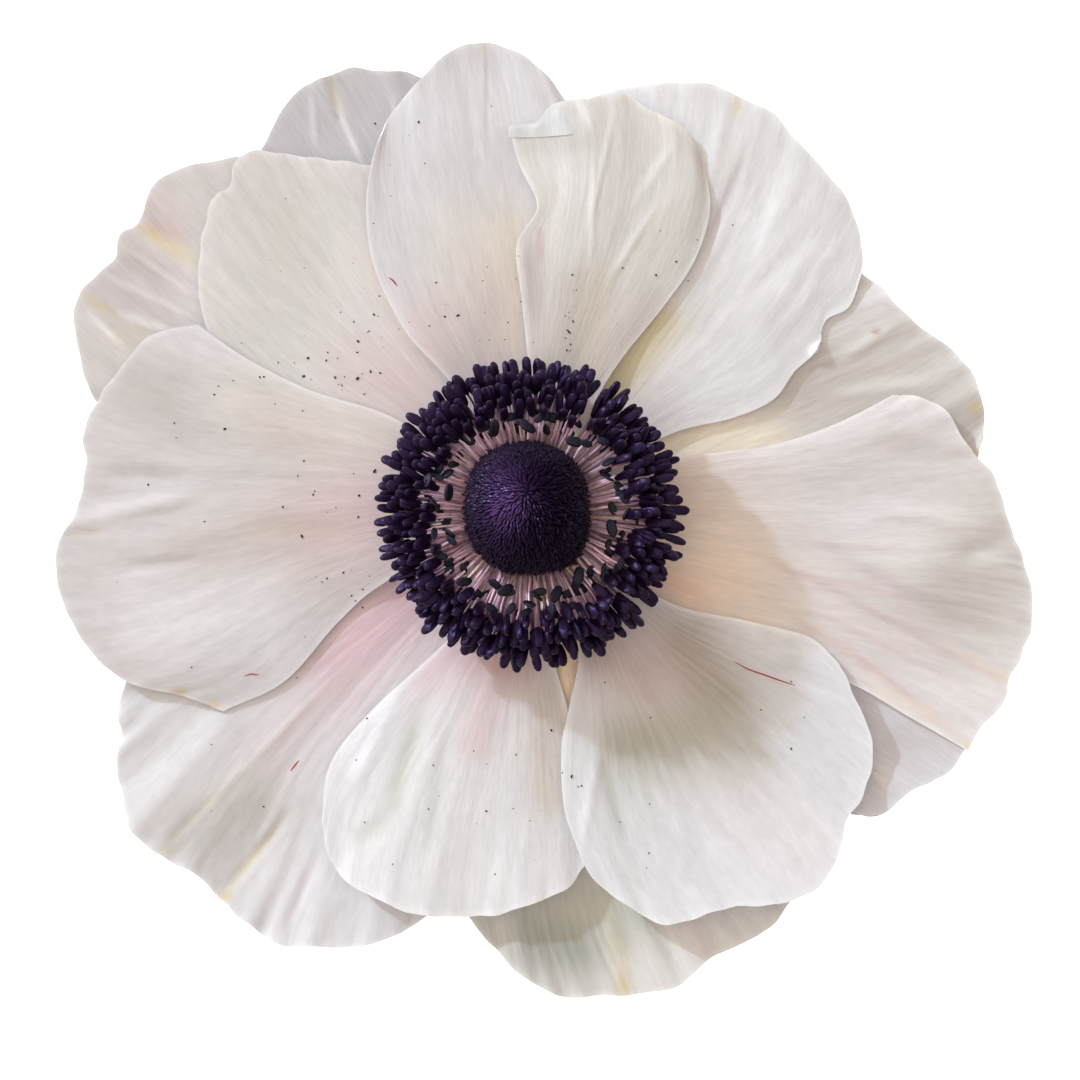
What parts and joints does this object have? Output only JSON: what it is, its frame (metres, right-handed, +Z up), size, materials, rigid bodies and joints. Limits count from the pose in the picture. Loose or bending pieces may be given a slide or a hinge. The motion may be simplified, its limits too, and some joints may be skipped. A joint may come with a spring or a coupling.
{
  "type": "anemone flower",
  "caption": "White garden anemone bloom, cut just behind the flower and lying face up, with layered wavy tepals round a dark dome and a ring of dark stamens.",
  "frame": {"origin": "middle of the cut face of the stem stub, on the surface that the bloom lies on", "axes": "+Z up along the flower's axis, out of the bloom's face; +X and +Y across the bloom"},
  "size_m": [0.09, 0.0879, 0.02],
  "materials": {
    "tepal_white": "soft matt, translucent, finely veined",
    "stem_green": "matt, finely downy",
    "stamens": "velvety, dark aubergine anthers on mauve filaments",
    "carpels": "glossy hairs, violet black"
  },
  "bodies": {
    "root": {"receptacle": "stem_green", "pistil_dome": "carpels", "stamens": "stamens", "tepal_back_west_northwest": "tepal_white", "tepal_back_north_northwest": "tepal_white", "tepal_back_east": "tepal_white", "tepal_back_southeast": "tepal_white", "tepal_back_south": "tepal_white", "tepal_back_southwest": "tepal_white", "tepal_mid_northwest": "tepal_white", "tepal_mid_northeast": "tepal_white", "tepal_mid_east": "tepal_white", "tepal_front_north": "tepal_white", "tepal_front_west": "tepal_white", "tepal_front_southeast": "tepal_white", "tepal_top_north_northeast": "tepal_white", "tepal_front_south_southwest": "tepal_white"}
  },
  "joints": []
}
